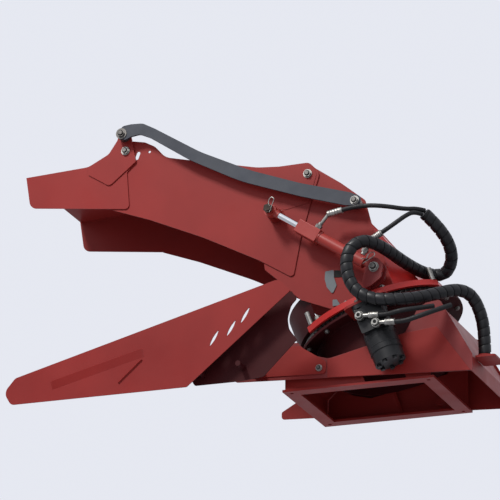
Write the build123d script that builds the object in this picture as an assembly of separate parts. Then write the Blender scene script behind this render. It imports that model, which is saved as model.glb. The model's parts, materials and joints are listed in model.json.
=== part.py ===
"""Swivelling discharge chute of a straw blower: fixed base, slewing neck, folding boom and end flap.

All sizes are in millimetres. The origin is the centre of the underside of the base flange, +Z is up, and
the chute blows towards -X. The near side of the chute, with the cylinder, link bar and motor, is -Y.
"""

import math
import os

from build123d import *

# ---------------------------------------------------------------- driving dimensions
TURNTABLE_HEIGHT = 270.0  # centre of the turntable above the base flange
TURNTABLE_TILT = 20.0  # degrees that the slewing axis leans towards -X

ELBOW_HALF_WIDTH = 237.5  # outer face of the elbow's side plates
ELBOW_SHEET = 4.0
BOOM_HALF_WIDTH = 242.0
BOOM_SHEET = 3.0
FLAP_HALF_WIDTH = 246.5
FLAP_SHEET = 3.0
LUG_SHEET = 4.0
SHEET = 3.0  # top plates and base panels

DISC_RADIUS = 295.0
DISC_THICKNESS = 8.0
DISC_FRONT = -178.0  # the disc is cut straight at the front and at the back
DISC_REAR = 264.0
NECK_RADIUS = 225.0
NECK_WALL = 4.0
RIM_DEPTH = 20.0  # the disc's rim is turned down this far
RIM_WIDTH = 12.0
TEETH_THICKNESS = 10.0
RING_TEETH = 90
PINION_TEETH = 12
GEAR_MODULE = 6.0
ROOT_SHARE = 0.25  # half a tooth's width at its root and at its tip, as shares of the pitch
TIP_SHARE = 0.09
RUNNING_GAP = 0.5  # between faces that slide past each other
RUNNING_FIT = 0.08  # radial clearance of the slewing bearing

MOTOR_ANGLE = -80.0  # degrees round the slewing axis from +X
MOTOR_RADIUS = 52.0

BOLT = 8.0  # radius of an M16 bolt
PIN = 10.0  # radius of the cylinder pins
BOLT_HEAD_RADIUS = 13.5

# Pivots of the linkage, as (X, Z)
BOOM_PIVOT = (-160.0, 742.0)
FLAP_PIVOT = (-810.0, 899.0)
LINK_REAR = (17.0, 614.0)
LINK_FRONT = (-812.0, 950.0)
CYLINDER_BASE = (93.0, 363.0)
ROD_END = (-270.0, 605.0)

LINK_INNER = 277.0  # inner face of the link bar
LINK_THICKNESS = 8.0
CYLINDER_OFFSET = 300.0  # the cylinder's axis lies this far from the middle plane
BARREL_RADIUS = 20.0
ROD_RADIUS = 10.5

BASE_HALF_WIDTH = 235.0
GUARD_OFFSET = 460.0  # outer face of the guard panel
SHIELD_OFFSET = 400.0

BUNDLE_RADIUS = 21.0
HOSE_RADIUS = 7.5

os.makedirs("parts", exist_ok=True)
SLEW = Location((0, 0, TURNTABLE_HEIGHT), (0, -TURNTABLE_TILT, 0))


# ---------------------------------------------------------------- helpers
def save(name, *shapes):
    """Write one node; several shapes stay separate solids."""
    solids = [solid for shape in shapes for solid in shape.solids()]
    export_step(solids[0] if len(solids) == 1 else Compound(solids), f"parts/{name}.step")


def rounded(points, closed):
    """A wire in the XZ plane through (x, z) or (x, z, corner radius) points.

    A corner's arc is made smaller where its two runs are too short for the radius that is asked for.
    """
    spots = [Vector(p[0], 0, p[1]) for p in points]
    radii = [p[2] if len(p) > 2 else 0 for p in points]
    count = len(spots)
    edges = []
    ends = []
    for i, (spot, radius) in enumerate(zip(spots, radii)):
        if radius == 0 or (not closed and i in (0, count - 1)):
            ends.append((spot, spot))
            continue
        back = spots[i - 1] - spot
        ahead = spots[(i + 1) % count] - spot
        half = math.radians(back.get_angle(ahead) / 2)
        cut = min(radius / math.tan(half), 0.48 * back.length, 0.48 * ahead.length)
        start = spot + back.normalized() * cut
        end = spot + ahead.normalized() * cut
        middle = (back.normalized() + ahead.normalized()).normalized()
        reach_in = cut / math.cos(half) - cut * math.tan(half)
        edges.append(Edge.make_three_point_arc(start, spot + middle * reach_in, end))
        ends.append((start, end))
    for i in range(count if closed else count - 1):
        edges.append(Edge.make_line(ends[i][1], ends[(i + 1) % count][0]))
    return Wire(edges)


def outline(points):
    """A closed wire in the XZ plane through (x, z) or (x, z, corner radius) points."""
    return rounded(points, True)


def plate(points, inner, thickness, side=-1):
    """A flat plate parallel to XZ, from `inner` outwards, on the near (-1) or far (+1) side."""
    low = min(side * inner, side * (inner + thickness))
    return Pos(0, low, 0) * extrude(Face(outline(points)), amount=thickness, dir=(0, 1, 0))


def across(x, z, radius, y0, y1):
    """A round bar along Y through (x, z)."""
    return Pos(x, (y0 + y1) / 2, z) * Rot(90, 0, 0) * Cylinder(radius, abs(y1 - y0))


def hexagon(x, z, radius, y0, y1):
    """A hexagonal bar along Y through (x, z)."""
    prism = extrude(RegularPolygon(radius, 6), amount=abs(y1 - y0))
    return Pos(x, max(y0, y1), z) * Rot(90, 0, 0) * prism


def strip(points, thickness, y0, y1):
    """Bent sheet between y0 and y1 whose middle line follows (x, z, bend radius) points."""
    spots = [Vector(p[0], 0, p[1]) for p in points]
    steps = [(after - before).normalized() for before, after in zip(spots, spots[1:])]
    sides = []
    for side in (1, -1):
        for i, spot in enumerate(spots):
            before = steps[max(i - 1, 0)]
            after = steps[min(i, len(steps) - 1)]
            normal = Vector(-before.Z - after.Z, 0, before.X + after.X).normalized()
            stretch = 1 / normal.dot(Vector(-after.Z, 0, after.X))
            place = spot + normal * (side * thickness / 2 * stretch)
            sides.append((side, i, (place.X, place.Z, points[i][2])))
    upper = [corner for side, i, corner in sides if side > 0]
    lower = [corner for side, i, corner in sides if side < 0]
    return Pos(0, y0, 0) * extrude(Face(outline(upper + lower[::-1])), amount=y1 - y0, dir=(0, 1, 0))


def on_disc(a, b, h=0.0):
    """A place on the turntable: a and b across it, h above its top face."""
    return SLEW * Pos(a, b, h)


def ring(outer, inner, low, high):
    """A flat ring round the slewing axis between two heights."""
    body = Cylinder(outer, high - low) - Cylinder(inner, high - low + 2)
    return SLEW * Pos(0, 0, (low + high) / 2) * body


def both(make):
    """The near and the far copy of a piece."""
    return make(-1), make(1)


def bolt(x, z, radius, face, depth, side, head=7.0):
    """A through bolt along Y: hexagon head and washer outside `face`, nut inside at `depth`."""
    outer = face + 2.5
    shank = across(x, z, radius, side * depth, side * (outer + head))
    washer = across(x, z, radius * 1.9, side * face, side * outer)
    cap = hexagon(x, z, radius * 1.6, side * outer, side * (outer + head))
    return shank + washer + cap


# ---------------------------------------------------------------- swivelling elbow
ELBOW_SIDE = [
    (-40, 255.7), (-87, 265, 20), (-191, 307, 30), (-268, 383, 15), (-314, 424, 12), (-317, 448, 10),
    (-330, 560, 40), (-262, 720, 60), (-205, 775, 35), (-160, 787, 60), (-136, 761, 30), (-45, 697, 60),
    (38, 628, 14), (45, 600, 20), (58, 549), (132.5, 318.5),
]
ELBOW_SIDE_FAR = [
    (-131, 223.8), (-191, 307, 30), (-268, 383, 15), (-314, 424, 12), (-317, 448, 10), (-330, 560, 40),
    (-262, 720, 60), (-205, 775, 35), (-160, 787, 60), (-136, 761, 30), (-45, 661, 60), (5, 600, 40),
    (52, 556, 10), (58, 549), (132.5, 318.5),
]
SHOULDER = (58.0, 549.0)  # where the roof of the elbow turns down into its rear wall
REAR_FOOT = 215.0  # the rear wall meets the disc this far behind the slewing axis
REAR_FOOT_HALF = 105.0
SIDE_FOOT = 141.0  # the side plates end here on the disc

elbow_inner = ELBOW_HALF_WIDTH - ELBOW_SHEET
elbow_side_near = plate(ELBOW_SIDE, elbow_inner, ELBOW_SHEET, -1)
elbow_side_far = plate(ELBOW_SIDE_FAR, elbow_inner, ELBOW_SHEET, 1)


def disc_point(a, b, h=0.0):
    """The row-frame point of a place on the turntable."""
    return on_disc(a, b, h).position


def facet(corners, thickness):
    """A flat triangular or four-sided sheet through its corners."""
    wire = Wire(Polyline(*corners, close=True).edges())
    sheet = Face(wire)
    return extrude(sheet, amount=thickness)


def rear_facet(side):
    """The triangle that turns a side plate into the rear wall."""
    top = Vector(SHOULDER[0] - 2, side * (elbow_inner - 3.5), SHOULDER[1] - 8)
    foot = disc_point(SIDE_FOOT - 2, side * (elbow_inner - 3.5), 1.5)
    rear = disc_point(REAR_FOOT - 3, side * (REAR_FOOT_HALF + 2), 1.5)
    corners = [top, foot, rear] if side > 0 else [top, rear, foot]
    return facet(corners, -SHEET)


rear_wall_top = [Vector(SHOULDER[0] - 3, s * (elbow_inner - 6), SHOULDER[1] - 6) for s in (-1, 1)]
rear_wall_foot = [disc_point(REAR_FOOT - 4, s * (REAR_FOOT_HALF - 2), 1.5) for s in (1, -1)]
elbow_rear_wall = facet(rear_wall_top + rear_wall_foot, SHEET)
elbow_facet_near, elbow_facet_far = both(rear_facet)

ROOF = [(-128, 737, 0), (-45, 655, 80), (5, 590, 60), (SHOULDER[0] - 8, SHOULDER[1] - 3, 0)]
elbow_roof = strip(ROOF, SHEET, -elbow_inner, elbow_inner)

# A curved apron closes the foot of the elbow at the front.
APRON_RADIUS = 272.0
APRON_HEIGHT = 112.0
APRON_REAR = -139.0
apron_tube = Cylinder(APRON_RADIUS, APRON_HEIGHT) - Cylinder(APRON_RADIUS - SHEET, APRON_HEIGHT + 2)
apron_keep = Pos(APRON_REAR - 150, 0, 0) * Box(300, 2 * elbow_inner, APRON_HEIGHT + 2)
apron_sill = Cylinder(APRON_RADIUS, SHEET) - Cylinder(NECK_RADIUS + 8, SHEET + 2)
apron_sill &= Pos(DISC_FRONT - 150, 0, 0) * Box(300, 2 * elbow_inner, SHEET + 2)
elbow_apron = SLEW * (Pos(0, 0, APRON_HEIGHT / 2) * (apron_tube & apron_keep) + Pos(0, 0, SHEET / 2) * apron_sill)

# ---------------------------------------------------------------- turntable
disc_blank = Cylinder(DISC_RADIUS, DISC_THICKNESS) - Cylinder(NECK_RADIUS + RUNNING_FIT, DISC_THICKNESS + 2)
disc_length = DISC_REAR - DISC_FRONT
disc_cut = Pos((DISC_REAR + DISC_FRONT) / 2, 0, 0) * Box(disc_length, 2 * DISC_RADIUS, 4 * RIM_DEPTH)
disc_rim = Cylinder(DISC_RADIUS, RIM_DEPTH) - Cylinder(DISC_RADIUS - RIM_WIDTH, RIM_DEPTH + 2)
turntable_disc = Pos(0, 0, -DISC_THICKNESS / 2) * disc_blank + Pos(0, 0, -RIM_DEPTH / 2) * disc_rim
turntable_disc = SLEW * (turntable_disc & disc_cut)

RING_TOP = -DISC_THICKNESS
TEETH_TOP = -(RIM_DEPTH + 1)
RING_FOOT = TEETH_TOP - TEETH_THICKNESS


def gear(teeth, thickness):
    """A plain spur gear with straight flanks and generous backlash."""
    pitch = GEAR_MODULE * teeth / 2
    root = pitch - 1.15 * GEAR_MODULE
    tip = pitch + 0.85 * GEAR_MODULE
    step = 2 * math.pi / teeth
    points = []
    for k in range(teeth):
        middle = k * step
        for radius, share in ((root, -ROOT_SHARE), (tip, -TIP_SHARE), (tip, TIP_SHARE), (root, ROOT_SHARE)):
            angle = middle + share * step
            points.append((radius * math.cos(angle), radius * math.sin(angle)))
    return extrude(Face(Wire(Polyline(*points, close=True).edges())), amount=thickness)


gear_hub = Pos(0, 0, (RING_TOP + RING_FOOT) / 2) * Cylinder(262, RING_TOP - RING_FOOT)
gear_bore = Cylinder(NECK_RADIUS + RUNNING_FIT, 100)
slew_gear = SLEW * (Pos(0, 0, RING_FOOT) * gear(RING_TEETH, TEETH_THICKNESS) + gear_hub - gear_bore)

# Bolts that clamp the disc to the gear ring stand up outside the elbow.
DISC_BOLTS = [(-22, 258), (105, 250), (-130, 251), (236, 82)]
disc_bolts = []
for a, b in DISC_BOLTS:
    for s in (-1, 1):
        nut = Pos(0, 0, 4) * extrude(RegularPolygon(11, 6), amount=8, both=True)
        disc_bolts.append(on_disc(a, s * b) * (nut & Pos(0, 0, 6.5) * Box(60, 60, 13)))
        disc_bolts[-1] += on_disc(a, s * b, 8) * Cylinder(5.5, 16)

# Two upright steel pins keep the hose bundle off the turntable's edge.
GUIDE_PLACES = [(-160, -240.5), (254, -140)]
GUIDE_RADIUS = 8.5
GUIDE_HEIGHT = 46.0
hose_guides = []
for a, b in GUIDE_PLACES:
    pin = Pos(0, 0, GUIDE_HEIGHT / 2) * Cylinder(GUIDE_RADIUS, GUIDE_HEIGHT)
    hose_guides.append(on_disc(a, b) * chamfer(pin.edges().group_by(Axis.Z)[-1], 1.0))

# Two grey plates close holes low in the elbow's side.
HAND_COVER = [
    (-102, 394, 4), (-72, 396, 4), (-72, 371, 6), (-63, 342, 8), (-77, 313, 5), (-97, 339, 8), (-104, 368, 6),
]
FOOT_COVER = [(-77, 294, 3), (-62, 293, 3), (-50, 272, 3), (-77, 271, 3)]
inspection_covers = [plate(points, ELBOW_HALF_WIDTH, 3.0) for points in (HAND_COVER, FOOT_COVER)]

# ---------------------------------------------------------------- boom
BOOM_SIDE = [
    (-838, 899, 26), (-836, 932, 22), (-786, 934, 26), (-742, 925, 30), (-706, 905, 40), (-668, 862, 60),
    (-600, 846, 60), (-339, 786, 200), (-262, 780, 60), (-162, 782, 30), (-118, 742, 24), (-152, 634, 60),
    (-186, 520, 60), (-213, 384, 12), (-332, 458), (-529, 560, 600), (-722, 645, 300), (-862, 697, 4),
    (-822, 800, 20), (-822, 858, 20),
]
boom_inner = BOOM_HALF_WIDTH - BOOM_SHEET


def boom_side(side):
    """One cheek of the boom with its pivot holes, finger slot and small drain hole."""
    cheek = plate(BOOM_SIDE, boom_inner, BOOM_SHEET, side)
    for x, z, radius in ((*BOOM_PIVOT, BOLT), (*FLAP_PIVOT, BOLT), (-726, 889, 4.5)):
        cheek -= across(x, z, radius, side * 220, side * 260)
    slot = across(-766, 888, 6.5, side * 220, side * 260) + across(-772, 872, 6.5, side * 220, side * 260)
    slot += Pos(-769, side * 240, 880) * Rot(0, 20.5, 0) * Box(13, 40, 17)
    return cheek - slot


BOOM_ROOF = [
    (-268, 757, 0), (-339, 762, 300), (-568, 812, 600), (-690, 846, 300), (-772, 848, 0),
]
boom_side_near, boom_side_far = both(boom_side)
boom_roof = strip(BOOM_ROOF, SHEET, -boom_inner, boom_inner)


def drilled(shape, *places):
    """The shape with holes along Y."""
    for x, z, radius in places:
        shape -= across(x, z, radius, -600, 600)
    return shape


PIVOT_DOUBLER = [(-262, 765, 12), (-150, 771, 30), (-128, 742, 24), (-158, 640, 10), (-250, 622, 12)]
boom_doubler = plate(PIVOT_DOUBLER, BOOM_HALF_WIDTH, 1.5)
boom_doubler = drilled(boom_doubler, (*BOOM_PIVOT, BOLT))

# The boss that takes the cylinder's rod end is welded to the near cheek.
BOSS_RADIUS = 24.0
boss_end = CYLINDER_OFFSET - 16
rod_boss = across(*ROD_END, BOSS_RADIUS, -BOOM_HALF_WIDTH, -boss_end)
ROD_PIN_PLAY = 6.0
rod_boss = drilled(rod_boss, (*ROD_END, PIN + ROD_PIN_PLAY))

# ---------------------------------------------------------------- flap
FLAP_SIDE = [
    (-1175, 847), (-947, 859, 60), (-872, 897, 40), (-840, 941, 20), (-833, 973, 20), (-795, 972, 20),
    (-784, 915, 40), (-772, 858, 8), (-806, 824, 12), (-796, 691, 14), (-1158, 735, 28),
]
FLAP_LUG = [
    (-947, 857), (-872, 894, 40), (-840, 941, 20), (-833, 973, 20), (-795, 972, 20), (-784, 915, 40),
    (-772, 858, 8), (-868, 780, 18), (-908, 806, 6), (-945, 829, 4),
]
flap_inner = FLAP_HALF_WIDTH - FLAP_SHEET


def flap_side(side):
    """One cheek of the end flap."""
    return drilled(plate(FLAP_SIDE, flap_inner, FLAP_SHEET, side), (*FLAP_PIVOT, BOLT), (*LINK_FRONT, BOLT))


def flap_lug(side):
    """The thicker plate that carries the flap's pivot and, on the near side, the link bar."""
    return drilled(plate(FLAP_LUG, FLAP_HALF_WIDTH, LUG_SHEET, side), (*FLAP_PIVOT, BOLT), (*LINK_FRONT, BOLT))


flap_side_near, flap_side_far = both(flap_side)
flap_lug_near, flap_lug_far = both(flap_lug)
FLAP_ROOF = [(-1172, 844.5, 0), (-947, 855.5, 60), (-866, 872, 0)]
flap_roof = strip(FLAP_ROOF, SHEET, -flap_inner, flap_inner)

# ---------------------------------------------------------------- link bar
LINK_WIDTH = 36.0
LINK_PLAY = 6.0
LINK_BAR = [
    (-822, 938), (-826, 958, 12), (-806, 977, 10), (-778, 980, 40), (-735, 978, 40), (-690, 953, 60),
    (-527, 850, 400), (-349, 763, 700), (-173, 697, 700), (1, 644, 30), (38, 626, 14), (33, 596, 20),
    (-16, 601, 60), (-173, 651, 700), (-384, 729, 700), (-563, 825, 400), (-708, 923, 60),
    (-745, 940, 30), (-777, 936, 30), (-800, 926, 14),
]
link_bar = plate(LINK_BAR, LINK_INNER, LINK_THICKNESS)
link_bar = drilled(link_bar, (*LINK_REAR, BOLT + 0.05), (*LINK_FRONT, BOLT + LINK_PLAY))

link_far_face = LINK_INNER + LINK_THICKNESS + RUNNING_GAP
link_rear_pin = bolt(*LINK_REAR, BOLT, link_far_face, elbow_inner - 14, -1)
link_rear_pin += across(*LINK_REAR, 15, -ELBOW_HALF_WIDTH, -(LINK_INNER - RUNNING_GAP))
link_front_pin = bolt(*LINK_FRONT, BOLT, link_far_face, flap_inner - 14, -1)
link_front_pin += across(*LINK_FRONT, 19, -(FLAP_HALF_WIDTH + LUG_SHEET), -(LINK_INNER - RUNNING_GAP))
link_front_pin += across(*LINK_FRONT, 19, -(link_far_face + 2.5), -link_far_face)

boom_pivot_bolts = both(lambda s: bolt(*BOOM_PIVOT, BOLT - 0.05, BOOM_HALF_WIDTH + 2.0, elbow_inner - 14, s))
flap_pivot_bolts = both(
    lambda s: bolt(*FLAP_PIVOT, BOLT - 0.05, FLAP_HALF_WIDTH + LUG_SHEET + RUNNING_GAP, boom_inner - 14, s)
)
elbow_side_near = drilled(elbow_side_near, (*BOOM_PIVOT, BOLT), (*LINK_REAR, BOLT))
elbow_side_far = drilled(elbow_side_far, (*BOOM_PIVOT, BOLT))

# ---------------------------------------------------------------- cylinder
run = Vector(CYLINDER_BASE[0] - ROD_END[0], 0, CYLINDER_BASE[1] - ROD_END[1])
reach = run.length
cylinder_angle = math.degrees(math.atan2(-run.Z, run.X))
CYLINDER = Location((ROD_END[0], -CYLINDER_OFFSET, ROD_END[1]), (0, cylinder_angle, 0))
GLAND_START = 118.0
GLAND_LENGTH = 84.0
GLAND_SIDE = 46.0
BARREL_SETBACK = 46.0  # the barrel ends this far before the base pin
EYE_RADIUS = 21.0
EYE_WIDTH = 26.0


def along(start, end, radius):
    """A round piece on the cylinder's axis, from the rod end towards the base."""
    return CYLINDER * Pos((start + end) / 2, 0, 0) * Rot(0, 90, 0) * Cylinder(radius, end - start)


def on_cylinder(x, y=0.0, z=0.0):
    """A place at the cylinder: x from the rod pin, y sideways, z towards its upper side."""
    return CYLINDER * Pos(x, y, z)


piston_rod = along(EYE_RADIUS - 2, reach - 150, ROD_RADIUS)
eye_low, eye_high = -(CYLINDER_OFFSET + EYE_WIDTH / 2), -(CYLINDER_OFFSET - EYE_WIDTH / 2)
rod_eye = across(*ROD_END, EYE_RADIUS, eye_low, eye_high) - across(*ROD_END, PIN, eye_low - 1, eye_high + 1)
rod_eye = rod_eye + along(EYE_RADIUS - 4, EYE_RADIUS + 14, 13) - along(EYE_RADIUS - 2, EYE_RADIUS + 20, ROD_RADIUS)
rod_eye -= across(*ROD_END, PIN, eye_low - 1, eye_high + 1)
rod_pin = across(*ROD_END, PIN, -(CYLINDER_OFFSET + 30), -(BOOM_HALF_WIDTH + 4))
rod_pin += across(*ROD_END, 15.5, eye_low - 12, eye_low - 1)

barrel_foot = reach - BARREL_SETBACK
barrel_bore = along(GLAND_START + 10, barrel_foot - 8, BARREL_RADIUS - 4)
barrel_tube = along(GLAND_START + GLAND_LENGTH, barrel_foot, BARREL_RADIUS) - barrel_bore
gland_block = fillet(Box(GLAND_LENGTH, GLAND_SIDE, GLAND_SIDE).edges().filter_by(Axis.X), 3)
gland_block = on_cylinder(GLAND_START + GLAND_LENGTH / 2) * gland_block
gland_block -= along(GLAND_START - 1, GLAND_START + GLAND_LENGTH + 1, ROD_RADIUS + 0.05)
piston = along(reach - 150, reach - 120, BARREL_RADIUS - 4.05)
base_eye = across(*CYLINDER_BASE, EYE_RADIUS + 1, eye_low, eye_high)
base_eye += along(barrel_foot, reach - 10, 12)
base_eye -= across(*CYLINDER_BASE, PIN + 0.05, eye_low - 1, eye_high + 1)

# The clevis that holds the cylinder's base stands on the near side of the elbow.
CLEVIS_GAP = EYE_WIDTH / 2 + 0.8
CLEVIS_SHEET = 8.0
CLEVIS = [
    (70, 392, 20), (100, 398, 24), (124, 372, 24), (116, 325, 20), (80, 300), (58, 292), (52, 318, 8),
]
clevis_inner = plate(CLEVIS, CYLINDER_OFFSET - CLEVIS_GAP - CLEVIS_SHEET, CLEVIS_SHEET)
clevis_outer = plate(CLEVIS, CYLINDER_OFFSET + CLEVIS_GAP, CLEVIS_SHEET)
clevis_foot_outer = CYLINDER_OFFSET + CLEVIS_GAP + CLEVIS_SHEET
CLEVIS_WEB = [(62, 322), (70, 322), (70, 297), (62, 294)]
clevis_web = plate(CLEVIS_WEB, ELBOW_HALF_WIDTH, clevis_foot_outer - ELBOW_HALF_WIDTH)
cylinder_clevis = drilled(clevis_inner + clevis_outer + clevis_web, (*CYLINDER_BASE, PIN))
clevis_end = CYLINDER_OFFSET + CLEVIS_GAP + CLEVIS_SHEET
base_pin = across(*CYLINDER_BASE, PIN, -(clevis_end + 14), -(ELBOW_HALF_WIDTH + 4))
base_pin += across(*CYLINDER_BASE, 17, -(clevis_end + 3), -clevis_end)
base_pin += hexagon(*CYLINDER_BASE, 15, -(clevis_end + 12), -(clevis_end + 3))


# ---------------------------------------------------------------- fixed base
FLANGE_LENGTH = 520.0
FLANGE_WIDTH = 440.0
FLANGE_THICKNESS = 8.0
FLANGE_RIM = 48.0
FLANGE_HOLE = 6.5
HOLE_SPACING_X = 470.0
HOLE_SPACING_Y = 390.0

flange_plate = Box(FLANGE_LENGTH, FLANGE_WIDTH, FLANGE_THICKNESS)
flange_plate -= Box(FLANGE_LENGTH - 2 * FLANGE_RIM, FLANGE_WIDTH - 2 * FLANGE_RIM, FLANGE_THICKNESS + 2)
for sx in (-1, 1):
    for sy in (-1, 1):
        place = Pos(sx * HOLE_SPACING_X / 2, sy * HOLE_SPACING_Y / 2, 0)
        flange_plate -= place * Cylinder(FLANGE_HOLE, FLANGE_THICKNESS + 2)
base_flange = Pos(0, 0, FLANGE_THICKNESS / 2) * flange_plate

CHEEK = [
    (-420, 45, 10), (395, 6), (396, 62, 10), (314, 210, 20), (291, 253, 12), (262, 262, 12), (214, 235, 20),
    (170, 157, 20), (-29, 109, 30), (-95, 95, 40), (-164, 116, 30), (-200, 160, 12), (-260, 160, 20),
    (-420, 70, 10),
]
base_inner = BASE_HALF_WIDTH - SHEET
CHEEK_BOLT = (-126, 65)
cheek_near, cheek_far = both(lambda s: plate(CHEEK, base_inner, SHEET, s))
cheek_near = drilled(cheek_near, (*CHEEK_BOLT, 6.2))

BASE_TOP = [
    (-200, 138, 0), (-164, 108, 30), (-95, 89, 40), (-29, 103, 30), (168, 150, 14), (212, 232, 14), (255, 249, 0),
]
neck_hole = SLEW * Pos(0, 0, -150) * Cylinder(NECK_RADIUS + 0.5, 300)
base_top = strip(BASE_TOP, SHEET, -base_inner, base_inner) - neck_hole
REAR_WALL = [(386, 12, 0), (387, 60, 10), (306, 206, 20), (283, 246, 12), (262, 252, 0)]
base_rear_wall = strip(REAR_WALL, SHEET, -base_inner, base_inner)

# Under the top sheet a straight duct stands on the flange.
DUCT_FRONT = -250.0
DUCT_HALF_WIDTH = 215.5
FRONT_WALL = [(DUCT_FRONT, FLANGE_THICKNESS, 0), (DUCT_FRONT, 92, 10), (-206, 131, 0)]
base_front_wall = strip(FRONT_WALL, SHEET, -DUCT_HALF_WIDTH, DUCT_HALF_WIDTH)
DUCT_SIDE = [
    (-248.5, FLANGE_THICKNESS), (248, FLANGE_THICKNESS), (248, 226), (220, 220), (176, 140), (-29, 96),
    (-95, 82), (-164, 100), (-204, 126), (-245, 88),
]
duct_sides = [plate(DUCT_SIDE, DUCT_HALF_WIDTH - SHEET, SHEET, s) - neck_hole for s in (-1, 1)]
stay_length = base_inner - DUCT_HALF_WIDTH
STAY_PLACES = [(x, s * (DUCT_HALF_WIDTH + stay_length / 2)) for x in (-150, 150) for s in (-1, 1)]
duct_stays = [Pos(x, y, 50) * Box(40, stay_length, 20) for x, y in STAY_PLACES]

# The neck tube ends just under the top sheet.
NECK_TOP = -1.0
NECK_KEEP = [(-300, 78), (-95, 78), (-29, 92), (176, 138), (222, 226), (300, 226), (300, 420), (-300, 420)]
neck_tube = ring(NECK_RADIUS, NECK_RADIUS - NECK_WALL, NECK_TOP - 230, NECK_TOP)
neck_tube &= Pos(0, 300, 0) * plate(NECK_KEEP, 0, 600)
BEARING_OUTER = 288.0
BEARING_TOP = RING_FOOT - 3.0
BEARING_THICKNESS = 8.0
bearing_flange = ring(BEARING_OUTER, NECK_RADIUS, BEARING_TOP - BEARING_THICKNESS, BEARING_TOP)
slide_ring = ring(258, NECK_RADIUS + 3, BEARING_TOP, RING_FOOT - RUNNING_GAP)

# ---------------------------------------------------------------- slewing motor
gear_centre = GEAR_MODULE * (RING_TEETH + PINION_TEETH) / 2
motor_a = gear_centre * math.cos(math.radians(MOTOR_ANGLE))
motor_b = gear_centre * math.sin(math.radians(MOTOR_ANGLE))
BRACKET_TOP = BEARING_TOP - BEARING_THICKNESS
BRACKET_THICKNESS = 8.0
MOTOR_TOP = BRACKET_TOP - BRACKET_THICKNESS


def at_motor(h, a=0.0, b=0.0):
    """A place on the motor's axis, h above the turntable's face."""
    return SLEW * Pos(motor_a + a, motor_b + b, h)


def motor_disc(radius, low, high):
    """A round piece on the motor's axis."""
    return at_motor((low + high) / 2) * Cylinder(radius, high - low)


bracket_arm = fillet(Box(150, 130, BRACKET_THICKNESS).edges().filter_by(Axis.Z), 18)
motor_bracket = at_motor(BRACKET_TOP - BRACKET_THICKNESS / 2, 0, 14) * bracket_arm
motor_bracket -= motor_disc(30, MOTOR_TOP - 20, BRACKET_TOP + 20)
motor_bracket -= ring(NECK_RADIUS + 0.5, 1, BRACKET_TOP - 30, BRACKET_TOP + 30)
web_a = -66.0
web = [(web_a, MOTOR_TOP), (web_a + 44, MOTOR_TOP), (web_a + 18, MOTOR_TOP - 96), (web_a + 6, MOTOR_TOP - 104)]
web_face = Face(Wire(Polyline(*[(a, 0, h) for a, h in web], close=True).edges()))
motor_bracket += SLEW * Pos(motor_a, -BASE_HALF_WIDTH - 5, 0) * extrude(web_face, amount=5, dir=(0, 1, 0))

MOTOR_SQUARE = 100.0
SHAFT_RADIUS = 16.0
motor_flange = fillet(Box(MOTOR_SQUARE, MOTOR_SQUARE, 14).edges().filter_by(Axis.Z), 16)
HOUSING_LENGTH = 92.0
GEROTOR_LENGTH = 70.0
COVER_LENGTH = 38.0
housing_foot = MOTOR_TOP - 14 - HOUSING_LENGTH
gerotor_foot = housing_foot - GEROTOR_LENGTH
cover_foot = gerotor_foot - COVER_LENGTH
motor_housing = at_motor(MOTOR_TOP - 7) * motor_flange + motor_disc(MOTOR_RADIUS, housing_foot, MOTOR_TOP - 14)
motor_housing -= motor_disc(SHAFT_RADIUS + 0.05, gerotor_foot, MOTOR_TOP + 1)
motor_gerotor = motor_disc(MOTOR_RADIUS + 2, gerotor_foot, housing_foot)
motor_end_cover = motor_disc(MOTOR_RADIUS, cover_foot, gerotor_foot)
cover_bolts = []
for k in range(7):
    angle = 2 * math.pi * k / 7
    place = at_motor(cover_foot - 4, 40 * math.cos(angle), 40 * math.sin(angle))
    cover_bolts.append(place * Pos(0, 0, -4) * extrude(RegularPolygon(8, 6), amount=8))

PORT_FACE = -(MOTOR_RADIUS + 14)
port_block = fillet(Box(92, 34, 84).edges().filter_by(Axis.Y), 6)
motor_port_block = at_motor(MOTOR_TOP - 68, 4, PORT_FACE + 17) * port_block
motor_port_block -= motor_disc(MOTOR_RADIUS + 2.05, cover_foot, MOTOR_TOP)
PORT_PLACES = [(-26, MOTOR_TOP - 54), (16, MOTOR_TOP - 100)]
FITTING_RADIUS = 13.0
motor_fittings = []
port_mouths = []
for a, h in PORT_PLACES:
    body = at_motor(h, a, PORT_FACE - 9) * Rot(90, 0, 0) * Cylinder(FITTING_RADIUS, 18)
    cap = at_motor(h, a, PORT_FACE - 18) * Rot(90, 0, 0) * extrude(RegularPolygon(11.5, 6), amount=6)
    start = at_motor(h, a, PORT_FACE - 12).position
    motor_fittings.append(body + cap)
    port_mouths.append(start)


def rod_between(start, end, radius):
    """A straight round piece from one point to another."""
    start, end = Vector(*start), Vector(*end)
    along_line = end - start
    plane = Plane(origin=start, z_dir=along_line)
    return plane.location * Pos(0, 0, along_line.length / 2) * Cylinder(radius, along_line.length)


FERRULE_RADIUS = 10.5
MOTOR_HOSE_RADIUS = 8.0
motor_ferrules = []
motor_ferrules_ends = []
for mouth in port_mouths:
    neck_end = mouth + Vector(34, 0, -1)
    ferrule_end = neck_end + Vector(30, 0, -2)
    motor_ferrules.append(rod_between(mouth + Vector(FITTING_RADIUS - 2, 0, 0), neck_end, 6.5))
    motor_ferrules[-1] += rod_between(neck_end, ferrule_end, FERRULE_RADIUS)
    motor_ferrules_ends.append((neck_end, ferrule_end))
motor_fittings = [fitting + ferrule for fitting, ferrule in zip(motor_fittings, motor_ferrules)]

pinion = gear(PINION_TEETH, TEETH_THICKNESS - 1)
PINION_PHASE = 180.0 / PINION_TEETH
drive_pinion = at_motor(RING_FOOT) * Rot(0, 0, MOTOR_ANGLE + 180 + PINION_PHASE) * pinion
drive_pinion += motor_disc(SHAFT_RADIUS, housing_foot + 1, TEETH_TOP - 1)

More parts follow.
